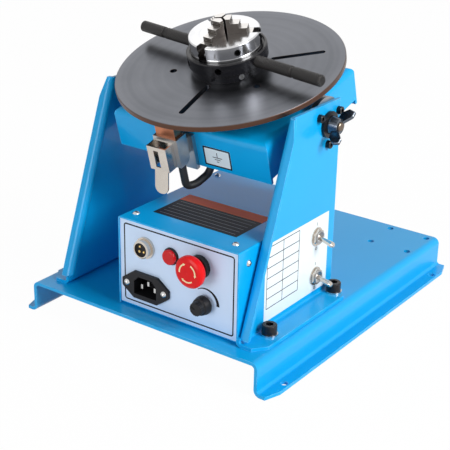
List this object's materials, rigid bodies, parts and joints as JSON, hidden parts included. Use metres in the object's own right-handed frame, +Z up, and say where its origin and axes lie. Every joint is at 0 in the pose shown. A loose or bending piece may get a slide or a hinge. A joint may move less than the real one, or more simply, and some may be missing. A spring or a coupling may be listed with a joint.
{
  "type": "welding positioner",
  "caption": "Bench welding positioner: motor-driven tilting turntable with scroll chuck, earth brush and control box on a folded steel base.",
  "frame": {"origin": "centre of the four floor bolt holes, on the floor under the base", "axes": "+Z up, +X to the operator's right, +Y from the operator's side to the back"},
  "size_m": [0.272, 0.3169, 0.271],
  "materials": {
    "blue_paint": "gloss powder coat",
    "black_steel": "blackened and oiled",
    "bright_steel": "ground bright",
    "zinc": "zinc plated",
    "machined_steel": "turned",
    "gear_aluminium": "cast",
    "copper": "worn copper",
    "brass": "plain",
    "black_plastic": "moulded",
    "red_plastic": "moulded",
    "lead_rubber": "matt",
    "board_green": "lacquered",
    "motor_case": "rolled"
  },
  "bodies": {
    "base": {"base_plate": "blue_paint", "left_side_plate": "blue_paint", "right_side_plate": "blue_paint", "foot_screws": "black_steel", "foot_washers": "zinc", "foot_nuts": "zinc", "pivot_bushes": "machined_steel", "pivot_bush_screws": "zinc", "control_chassis": "blue_paint", "control_cover": "blue_paint", "panel_screws": "zinc", "foot_socket_shell": "bright_steel", "foot_socket_insert": "black_plastic", "foot_socket_pins": "brass", "lamp_bezel": "black_plastic", "lamp_lens": "red_plastic", "estop_collar": "black_plastic", "estop_contact_block": "black_plastic", "inlet_housing": "black_plastic", "inlet_pins": "bright_steel", "speed_control": "zinc", "switch_bodies": "zinc", "switch_nuts": "bright_steel", "control_board": "board_green", "board_posts": "brass", "transformer": "machined_steel"},
    "tilt_head": {"tilt_frame": "blue_paint", "pivot_bolts": "zinc", "pivot_washers": "black_steel", "lock_washers": "zinc", "gearbox": "gear_aluminium", "motor": "motor_case", "bearing_housing": "machined_steel", "frame_screws": "zinc", "spindle_bearings": "bright_steel", "earth_bracket": "blue_paint", "brush_holder": "gear_aluminium", "brush_clip": "bright_steel", "brush_spring": "bright_steel", "earth_lead": "lead_rubber"},
    "turntable": {"spindle": "machined_steel", "gearbox_shaft": "machined_steel", "turntable_disc": "black_steel", "turntable_screws": "zinc", "chuck_backplate": "bright_steel", "backplate_set_screws": "black_steel", "chuck_body": "bright_steel"},
    "scroll": {"scroll_ring": "black_steel", "chuck_handles": "black_steel"},
    "jaw_a": {"jaw_1": "bright_steel"},
    "jaw_b": {"jaw_2": "bright_steel"},
    "jaw_c": {"jaw_3": "bright_steel"},
    "right_wing_nut": {"wing_nut_right": "zinc"},
    "left_wing_nut": {"wing_nut_left": "zinc"},
    "stop_stem": {"estop_stem": "black_plastic"},
    "stop_head": {"estop_head": "red_plastic"},
    "knob": {"speed_knob": "black_plastic"},
    "upper_switch": {"switch_lever_upper": "bright_steel"},
    "lower_switch": {"switch_lever_lower": "bright_steel"},
    "copper_block": {"copper_brush": "copper"}
  },
  "joints": [
    {"name": "head_tilt", "type": "hinge", "parent": "base", "child": "tilt_head", "pos_m": [0, -0.022, 0.189], "axis": [1, 0, 0], "range_deg": [-106, 0]},
    {"name": "turntable_spin", "type": "hinge", "parent": "tilt_head", "child": "turntable", "pos_m": [0, -0.022, 0.189], "axis": [0, -0.2756, 0.9613], "continuous": true},
    {"name": "scroll_turn", "type": "hinge", "parent": "turntable", "child": "scroll", "pos_m": [0, -0.022, 0.189], "axis": [0, -0.2756, 0.9613], "range_deg": [0, 1440]},
    {"name": "right_wing_nut_turn", "type": "hinge", "parent": "tilt_head", "child": "right_wing_nut", "pos_m": [0, -0.022, 0.189], "axis": [1, 0, 0], "range_deg": [0, 360]},
    {"name": "left_wing_nut_turn", "type": "hinge", "parent": "tilt_head", "child": "left_wing_nut", "pos_m": [0, -0.022, 0.189], "axis": [-1, 0, 0], "range_deg": [0, 360]},
    {"name": "stop_push", "type": "slide", "parent": "base", "child": "stop_stem", "axis": [0, 1, 0], "range_m": [0, 0.003]},
    {"name": "stop_twist", "type": "hinge", "parent": "stop_stem", "child": "stop_head", "pos_m": [0.0528, -0.141, 0.0892], "axis": [0, 1, 0], "range_deg": [0, 45]},
    {"name": "speed_turn", "type": "hinge", "parent": "base", "child": "knob", "pos_m": [0.0588, -0.141, 0.0572], "axis": [0, 1, 0], "range_deg": [-90, 210]},
    {"name": "copper_press", "type": "slide", "parent": "tilt_head", "child": "copper_block", "axis": [0, -0.2756, 0.9613], "range_m": [-0.002, 0], "stiffness_N_per_m": 1500, "springref_m": 0.002},
    {"name": "upper_switch_throw", "type": "hinge", "parent": "base", "child": "upper_switch", "pos_m": [0.0963, -0.0317, 0.09], "axis": [0, -1, 0], "range_deg": [0, 28]},
    {"name": "lower_switch_throw", "type": "hinge", "parent": "base", "child": "lower_switch", "pos_m": [0.0963, -0.0317, 0.0525], "axis": [0, -1, 0], "range_deg": [0, 28]},
    {"name": "jaw_1_slide", "type": "slide", "parent": "turntable", "child": "jaw_a", "axis": [-0.0872, -0.9576, -0.2746], "range_m": [0, 0.012]},
    {"name": "jaw_2_slide", "type": "slide", "parent": "turntable", "child": "jaw_b", "axis": [0.9063, 0.4062, 0.1165], "range_m": [0, 0.012]},
    {"name": "jaw_3_slide", "type": "slide", "parent": "turntable", "child": "jaw_c", "axis": [-0.8192, 0.5514, 0.1581], "range_m": [0, 0.012]}
  ],
  "couplings": [
    {"joint": "jaw_1_slide", "follows": "scroll_turn", "m_per_rad": 0.00047746},
    {"joint": "jaw_2_slide", "follows": "scroll_turn", "m_per_rad": 0.00047746},
    {"joint": "jaw_3_slide", "follows": "scroll_turn", "m_per_rad": 0.00047746}
  ]
}
